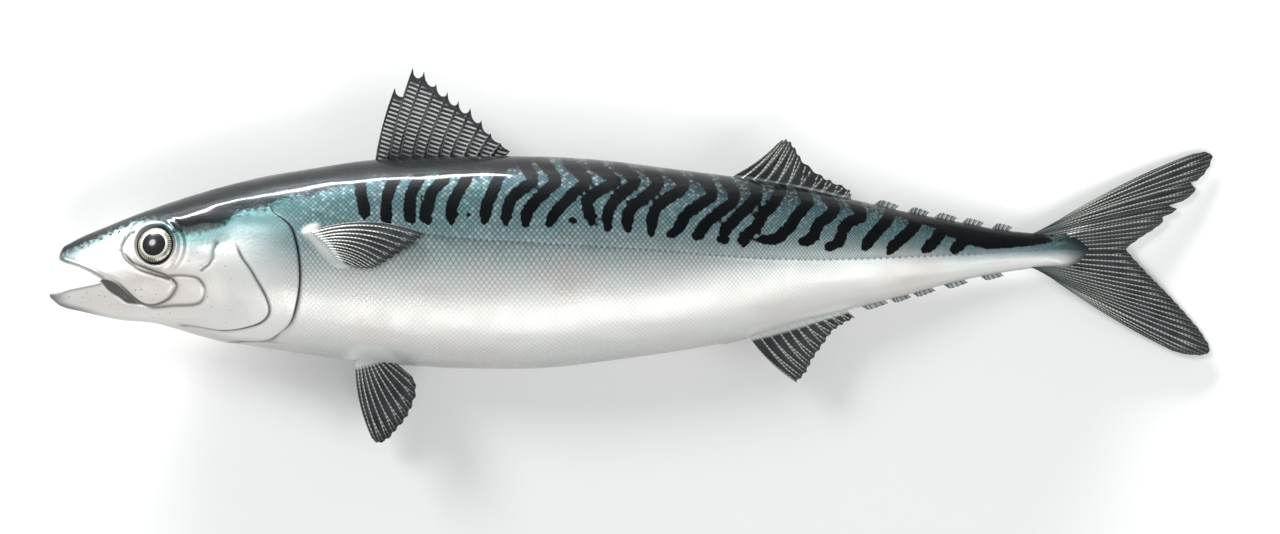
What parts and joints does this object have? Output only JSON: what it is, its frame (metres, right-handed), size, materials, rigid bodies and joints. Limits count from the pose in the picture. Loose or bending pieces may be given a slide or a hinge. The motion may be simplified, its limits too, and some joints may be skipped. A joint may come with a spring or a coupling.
{
  "type": "whole raw mackerel",
  "caption": "Whole raw mackerel lying on its side: open mouth, gill covers, spread fins, small finlets before a forked tail, dark wavy bars on the back.",
  "frame": {"origin": "on the table, under the middle of the whole fish", "axes": "head to -X and tail to +X, back to +Y and belly to -Y, left side up to +Z"},
  "size_m": [0.35, 0.1126, 0.0424],
  "materials": {
    "skin": "gloss",
    "fin": "satin",
    "mouth": "gloss",
    "eye": "polished"
  },
  "bodies": {
    "root": {"fish": "skin", "eye_left": "eye", "eye_right": "eye"}
  },
  "joints": []
}
